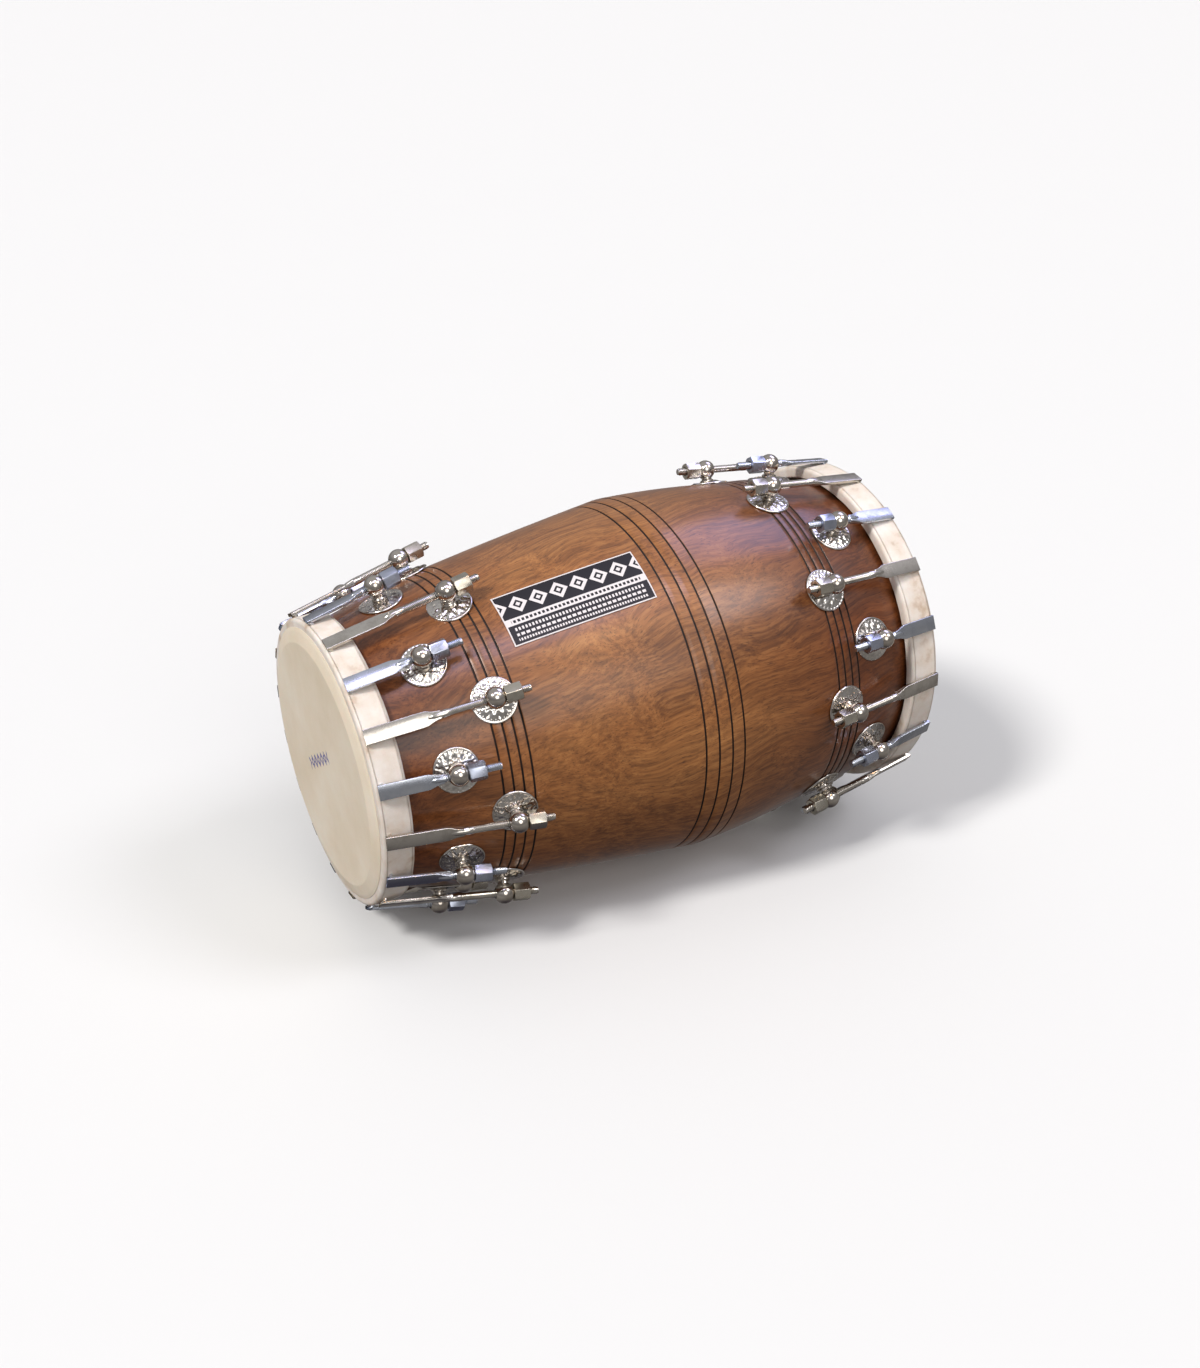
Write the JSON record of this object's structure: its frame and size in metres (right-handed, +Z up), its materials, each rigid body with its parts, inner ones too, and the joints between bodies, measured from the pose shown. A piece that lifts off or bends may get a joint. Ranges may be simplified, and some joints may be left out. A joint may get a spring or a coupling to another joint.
{
  "type": "two-headed barrel drum",
  "caption": "Two-headed wooden barrel drum with bolt-tuned heads: hooks over each hoop, eye bolts on stamped rosettes and hex tuning nuts.",
  "frame": {"origin": "centre of the treble (small) head's playing face", "axes": "+X along the drum's axis from the treble head to the bass head, +Z up as the drum lies on its side, -Y the side that shows the maker's plate"},
  "size_m": [0.482, 0.3187, 0.3173],
  "materials": {
    "varnished_wood": "glossy varnish",
    "goat_hide": "matte",
    "folded_hide": "matte",
    "tuning_paste": "matte",
    "maker_plate": "gloss print",
    "hoop_steel": "mill",
    "plain_steel": "plain",
    "zinc_plated_steel": "bright zinc",
    "nickel_plated_steel": "bright nickel",
    "polished_nickel": "polished nickel",
    "stamped_nickel": "stamped, bright nickel",
    "nickel_nut": "bright nickel",
    "zinc_nut": "bright zinc"
  },
  "bodies": {
    "shell": {"shell": "varnished_wood", "treble_skin": "goat_hide", "bass_skin": "goat_hide", "bass_tuning_paste": "tuning_paste", "maker_plate": "maker_plate", "treble_short_eye_bolts": "polished_nickel", "treble_long_eye_bolts": "polished_nickel", "bass_short_eye_bolts": "polished_nickel", "bass_long_eye_bolts": "polished_nickel", "treble_rosettes": "stamped_nickel", "bass_rosettes": "stamped_nickel", "treble_inner_washers": "plain_steel", "bass_inner_washers": "plain_steel", "treble_inner_nuts": "plain_steel", "bass_inner_nuts": "plain_steel"},
    "treble_tension": {"treble_hoop": "hoop_steel", "treble_collar": "folded_hide", "treble_short_hooks": "zinc_plated_steel", "treble_long_hooks": "nickel_plated_steel"},
    "bass_tension": {"bass_hoop": "hoop_steel", "bass_collar": "folded_hide", "bass_short_hooks": "zinc_plated_steel", "bass_long_hooks": "nickel_plated_steel"},
    "treble_nut_01_body": {"treble_nut_01": "nickel_nut"},
    "treble_nut_02_body": {"treble_nut_02": "zinc_nut"},
    "treble_nut_03_body": {"treble_nut_03": "nickel_nut"},
    "treble_nut_04_body": {"treble_nut_04": "zinc_nut"},
    "treble_nut_05_body": {"treble_nut_05": "nickel_nut"},
    "treble_nut_06_body": {"treble_nut_06": "zinc_nut"},
    "treble_nut_07_body": {"treble_nut_07": "nickel_nut"},
    "treble_nut_08_body": {"treble_nut_08": "zinc_nut"},
    "treble_nut_09_body": {"treble_nut_09": "nickel_nut"},
    "treble_nut_10_body": {"treble_nut_10": "zinc_nut"},
    "treble_nut_11_body": {"treble_nut_11": "nickel_nut"},
    "treble_nut_12_body": {"treble_nut_12": "zinc_nut"},
    "treble_nut_13_body": {"treble_nut_13": "nickel_nut"},
    "treble_nut_14_body": {"treble_nut_14": "zinc_nut"},
    "treble_nut_15_body": {"treble_nut_15": "nickel_nut"},
    "treble_nut_16_body": {"treble_nut_16": "zinc_nut"},
    "treble_nut_17_body": {"treble_nut_17": "nickel_nut"},
    "treble_nut_18_body": {"treble_nut_18": "zinc_nut"},
    "bass_nut_01_body": {"bass_nut_01": "nickel_nut"},
    "bass_nut_02_body": {"bass_nut_02": "zinc_nut"},
    "bass_nut_03_body": {"bass_nut_03": "nickel_nut"},
    "bass_nut_04_body": {"bass_nut_04": "zinc_nut"},
    "bass_nut_05_body": {"bass_nut_05": "nickel_nut"},
    "bass_nut_06_body": {"bass_nut_06": "zinc_nut"},
    "bass_nut_07_body": {"bass_nut_07": "nickel_nut"},
    "bass_nut_08_body": {"bass_nut_08": "zinc_nut"},
    "bass_nut_09_body": {"bass_nut_09": "nickel_nut"},
    "bass_nut_10_body": {"bass_nut_10": "zinc_nut"},
    "bass_nut_11_body": {"bass_nut_11": "nickel_nut"},
    "bass_nut_12_body": {"bass_nut_12": "zinc_nut"},
    "bass_nut_13_body": {"bass_nut_13": "nickel_nut"},
    "bass_nut_14_body": {"bass_nut_14": "zinc_nut"},
    "bass_nut_15_body": {"bass_nut_15": "nickel_nut"},
    "bass_nut_16_body": {"bass_nut_16": "zinc_nut"},
    "bass_nut_17_body": {"bass_nut_17": "nickel_nut"},
    "bass_nut_18_body": {"bass_nut_18": "zinc_nut"}
  },
  "joints": [
    {"name": "treble_tuning", "type": "slide", "parent": "shell", "child": "treble_tension", "axis": [1, 0, 0], "range_m": [-0.0015, 0.0015]},
    {"name": "bass_tuning", "type": "slide", "parent": "shell", "child": "bass_tension", "axis": [-1, 0, 0], "range_m": [-0.0015, 0.0015]},
    {"name": "treble_nut_turn_01", "type": "hinge", "parent": "shell", "child": "treble_nut_01_body", "pos_m": [0.09988, 0.05942, 0.12458], "axis": [0.9748, 0.096, 0.2013], "range_deg": [-430, 430]},
    {"name": "treble_nut_turn_02", "type": "hinge", "parent": "shell", "child": "treble_nut_02_body", "pos_m": [0.0617, 0.01247, 0.12952], "axis": [0.9718, 0.0226, 0.2347], "range_deg": [-430, 430]},
    {"name": "treble_nut_turn_03", "type": "hinge", "parent": "shell", "child": "treble_nut_03_body", "pos_m": [0.09988, -0.03456, 0.13363], "axis": [0.9748, -0.0558, 0.2159], "range_deg": [-430, 430]},
    {"name": "treble_nut_turn_04", "type": "hinge", "parent": "shell", "child": "treble_nut_04_body", "pos_m": [0.0617, -0.0737, 0.10723], "axis": [0.9718, -0.1336, 0.1944], "range_deg": [-430, 430]},
    {"name": "treble_nut_turn_05", "type": "hinge", "parent": "shell", "child": "treble_nut_05_body", "pos_m": [0.09988, -0.11237, 0.08015], "axis": [0.9748, -0.1816, 0.1295], "range_deg": [-430, 430]},
    {"name": "treble_nut_turn_06", "type": "hinge", "parent": "shell", "child": "treble_nut_06_body", "pos_m": [0.0617, -0.12538, 0.03477], "axis": [0.9718, -0.2273, 0.063], "range_deg": [-430, 430]},
    {"name": "treble_nut_turn_07", "type": "hinge", "parent": "shell", "child": "treble_nut_07_body", "pos_m": [0.09988, -0.1376, -0.01083], "axis": [0.9748, -0.2223, -0.0175], "range_deg": [-430, 430]},
    {"name": "treble_nut_turn_08", "type": "hinge", "parent": "shell", "child": "treble_nut_08_body", "pos_m": [0.0617, -0.1184, -0.05396], "axis": [0.9718, -0.2146, -0.0978], "range_deg": [-430, 430]},
    {"name": "treble_nut_turn_09", "type": "hinge", "parent": "shell", "child": "treble_nut_09_body", "pos_m": [0.09988, -0.09844, -0.09674], "axis": [0.9748, -0.1591, -0.1563], "range_deg": [-430, 430]},
    {"name": "treble_nut_turn_10", "type": "hinge", "parent": "shell", "child": "treble_nut_10_body", "pos_m": [0.0617, -0.05602, -0.11744], "axis": [0.9718, -0.1015, -0.2129], "range_deg": [-430, 430]},
    {"name": "treble_nut_turn_11", "type": "hinge", "parent": "shell", "child": "treble_nut_11_body", "pos_m": [0.09988, -0.01323, -0.13739], "axis": [0.9748, -0.0214, -0.222], "range_deg": [-430, 430]},
    {"name": "treble_nut_turn_12", "type": "hinge", "parent": "shell", "child": "treble_nut_12_body", "pos_m": [0.0617, 0.03258, -0.12597], "axis": [0.9718, 0.059, -0.2283], "range_deg": [-430, 430]},
    {"name": "treble_nut_turn_13", "type": "hinge", "parent": "shell", "child": "treble_nut_13_body", "pos_m": [0.09988, 0.07818, -0.11375], "axis": [0.9748, 0.1263, -0.1838], "range_deg": [-430, 430]},
    {"name": "treble_nut_turn_14", "type": "hinge", "parent": "shell", "child": "treble_nut_14_body", "pos_m": [0.0617, 0.10593, -0.07556], "axis": [0.9718, 0.192, -0.1369], "range_deg": [-430, 430]},
    {"name": "treble_nut_turn_15", "type": "hinge", "parent": "shell", "child": "treble_nut_15_body", "pos_m": [0.09988, 0.133, -0.03688], "axis": [0.9748, 0.2149, -0.0596], "range_deg": [-430, 430]},
    {"name": "treble_nut_turn_16", "type": "hinge", "parent": "shell", "child": "treble_nut_16_body", "pos_m": [0.0617, 0.12971, 0.01021], "axis": [0.9718, 0.2351, 0.0185], "range_deg": [-430, 430]},
    {"name": "treble_nut_turn_17", "type": "hinge", "parent": "shell", "child": "treble_nut_17_body", "pos_m": [0.09988, 0.1256, 0.05724], "axis": [0.9748, 0.2029, 0.0925], "range_deg": [-430, 430]},
    {"name": "treble_nut_turn_18", "type": "hinge", "parent": "shell", "child": "treble_nut_18_body", "pos_m": [0.0617, 0.0928, 0.0912], "axis": [0.9718, 0.1682, 0.1653], "range_deg": [-430, 430]},
    {"name": "bass_nut_turn_01", "type": "hinge", "parent": "shell", "child": "bass_nut_01_body", "pos_m": [0.3899, 0.07576, 0.13122], "axis": [-0.9907, 0.068, 0.1177], "range_deg": [-430, 430]},
    {"name": "bass_nut_turn_02", "type": "hinge", "parent": "shell", "child": "bass_nut_02_body", "pos_m": [0.42201, 0.02563, 0.14533], "axis": [-0.9896, 0.0249, 0.1414], "range_deg": [-430, 430]},
    {"name": "bass_nut_turn_03", "type": "hinge", "parent": "shell", "child": "bass_nut_03_body", "pos_m": [0.3899, -0.02631, 0.14922], "axis": [-0.9907, -0.0236, 0.1339], "range_deg": [-430, 430]},
    {"name": "bass_nut_turn_04", "type": "hinge", "parent": "shell", "child": "bass_nut_04_body", "pos_m": [0.42201, -0.07378, 0.1278], "axis": [-0.9896, -0.0718, 0.1243], "range_deg": [-430, 430]},
    {"name": "bass_nut_turn_05", "type": "hinge", "parent": "shell", "child": "bass_nut_05_body", "pos_m": [0.3899, -0.11607, 0.0974], "axis": [-0.9907, -0.1041, 0.0874], "range_deg": [-430, 430]},
    {"name": "bass_nut_turn_06", "type": "hinge", "parent": "shell", "child": "bass_nut_06_body", "pos_m": [0.42201, -0.13867, 0.05047], "axis": [-0.9896, -0.1349, 0.0491], "range_deg": [-430, 430]},
    {"name": "bass_nut_turn_07", "type": "hinge", "parent": "shell", "child": "bass_nut_07_body", "pos_m": [0.3899, -0.15152, 0], "axis": [-0.9907, -0.1359, 0], "range_deg": [-430, 430]},
    {"name": "bass_nut_turn_08", "type": "hinge", "parent": "shell", "child": "bass_nut_08_body", "pos_m": [0.42201, -0.13867, -0.05047], "axis": [-0.9896, -0.1349, -0.0491], "range_deg": [-430, 430]},
    {"name": "bass_nut_turn_09", "type": "hinge", "parent": "shell", "child": "bass_nut_09_body", "pos_m": [0.3899, -0.11607, -0.0974], "axis": [-0.9907, -0.1041, -0.0874], "range_deg": [-430, 430]},
    {"name": "bass_nut_turn_10", "type": "hinge", "parent": "shell", "child": "bass_nut_10_body", "pos_m": [0.42201, -0.07378, -0.1278], "axis": [-0.9896, -0.0718, -0.1243], "range_deg": [-430, 430]},
    {"name": "bass_nut_turn_11", "type": "hinge", "parent": "shell", "child": "bass_nut_11_body", "pos_m": [0.3899, -0.02631, -0.14922], "axis": [-0.9907, -0.0236, -0.1339], "range_deg": [-430, 430]},
    {"name": "bass_nut_turn_12", "type": "hinge", "parent": "shell", "child": "bass_nut_12_body", "pos_m": [0.42201, 0.02563, -0.14533], "axis": [-0.9896, 0.0249, -0.1414], "range_deg": [-430, 430]},
    {"name": "bass_nut_turn_13", "type": "hinge", "parent": "shell", "child": "bass_nut_13_body", "pos_m": [0.3899, 0.07576, -0.13122], "axis": [-0.9907, 0.068, -0.1177], "range_deg": [-430, 430]},
    {"name": "bass_nut_turn_14", "type": "hinge", "parent": "shell", "child": "bass_nut_14_body", "pos_m": [0.42201, 0.11304, -0.09486], "axis": [-0.9896, 0.11, -0.0923], "range_deg": [-430, 430]},
    {"name": "bass_nut_turn_15", "type": "hinge", "parent": "shell", "child": "bass_nut_15_body", "pos_m": [0.3899, 0.14238, -0.05182], "axis": [-0.9907, 0.1277, -0.0465], "range_deg": [-430, 430]},
    {"name": "bass_nut_turn_16", "type": "hinge", "parent": "shell", "child": "bass_nut_16_body", "pos_m": [0.42201, 0.14757, 0], "axis": [-0.9896, 0.1436, 0], "range_deg": [-430, 430]},
    {"name": "bass_nut_turn_17", "type": "hinge", "parent": "shell", "child": "bass_nut_17_body", "pos_m": [0.3899, 0.14238, 0.05182], "axis": [-0.9907, 0.1277, 0.0465], "range_deg": [-430, 430]},
    {"name": "bass_nut_turn_18", "type": "hinge", "parent": "shell", "child": "bass_nut_18_body", "pos_m": [0.42201, 0.11304, 0.09486], "axis": [-0.9896, 0.11, 0.0923], "range_deg": [-430, 430]}
  ],
  "couplings": [
    {"joint": "treble_nut_turn_01", "follows": "treble_tuning", "rad_per_m": 4947.4},
    {"joint": "treble_nut_turn_02", "follows": "treble_tuning", "rad_per_m": 4947.4},
    {"joint": "treble_nut_turn_03", "follows": "treble_tuning", "rad_per_m": 4947.4},
    {"joint": "treble_nut_turn_04", "follows": "treble_tuning", "rad_per_m": 4947.4},
    {"joint": "treble_nut_turn_05", "follows": "treble_tuning", "rad_per_m": 4947.4},
    {"joint": "treble_nut_turn_06", "follows": "treble_tuning", "rad_per_m": 4947.4},
    {"joint": "treble_nut_turn_07", "follows": "treble_tuning", "rad_per_m": 4947.4},
    {"joint": "treble_nut_turn_08", "follows": "treble_tuning", "rad_per_m": 4947.4},
    {"joint": "treble_nut_turn_09", "follows": "treble_tuning", "rad_per_m": 4947.4},
    {"joint": "treble_nut_turn_10", "follows": "treble_tuning", "rad_per_m": 4947.4},
    {"joint": "treble_nut_turn_11", "follows": "treble_tuning", "rad_per_m": 4947.4},
    {"joint": "treble_nut_turn_12", "follows": "treble_tuning", "rad_per_m": 4947.4},
    {"joint": "treble_nut_turn_13", "follows": "treble_tuning", "rad_per_m": 4947.4},
    {"joint": "treble_nut_turn_14", "follows": "treble_tuning", "rad_per_m": 4947.4},
    {"joint": "treble_nut_turn_15", "follows": "treble_tuning", "rad_per_m": 4947.4},
    {"joint": "treble_nut_turn_16", "follows": "treble_tuning", "rad_per_m": 4947.4},
    {"joint": "treble_nut_turn_17", "follows": "treble_tuning", "rad_per_m": 4947.4},
    {"joint": "treble_nut_turn_18", "follows": "treble_tuning", "rad_per_m": 4947.4},
    {"joint": "bass_nut_turn_01", "follows": "bass_tuning", "rad_per_m": 4947.4},
    {"joint": "bass_nut_turn_02", "follows": "bass_tuning", "rad_per_m": 4947.4},
    {"joint": "bass_nut_turn_03", "follows": "bass_tuning", "rad_per_m": 4947.4},
    {"joint": "bass_nut_turn_04", "follows": "bass_tuning", "rad_per_m": 4947.4},
    {"joint": "bass_nut_turn_05", "follows": "bass_tuning", "rad_per_m": 4947.4},
    {"joint": "bass_nut_turn_06", "follows": "bass_tuning", "rad_per_m": 4947.4},
    {"joint": "bass_nut_turn_07", "follows": "bass_tuning", "rad_per_m": 4947.4},
    {"joint": "bass_nut_turn_08", "follows": "bass_tuning", "rad_per_m": 4947.4},
    {"joint": "bass_nut_turn_09", "follows": "bass_tuning", "rad_per_m": 4947.4},
    {"joint": "bass_nut_turn_10", "follows": "bass_tuning", "rad_per_m": 4947.4},
    {"joint": "bass_nut_turn_11", "follows": "bass_tuning", "rad_per_m": 4947.4},
    {"joint": "bass_nut_turn_12", "follows": "bass_tuning", "rad_per_m": 4947.4},
    {"joint": "bass_nut_turn_13", "follows": "bass_tuning", "rad_per_m": 4947.4},
    {"joint": "bass_nut_turn_14", "follows": "bass_tuning", "rad_per_m": 4947.4},
    {"joint": "bass_nut_turn_15", "follows": "bass_tuning", "rad_per_m": 4947.4},
    {"joint": "bass_nut_turn_16", "follows": "bass_tuning", "rad_per_m": 4947.4},
    {"joint": "bass_nut_turn_17", "follows": "bass_tuning", "rad_per_m": 4947.4},
    {"joint": "bass_nut_turn_18", "follows": "bass_tuning", "rad_per_m": 4947.4}
  ]
}
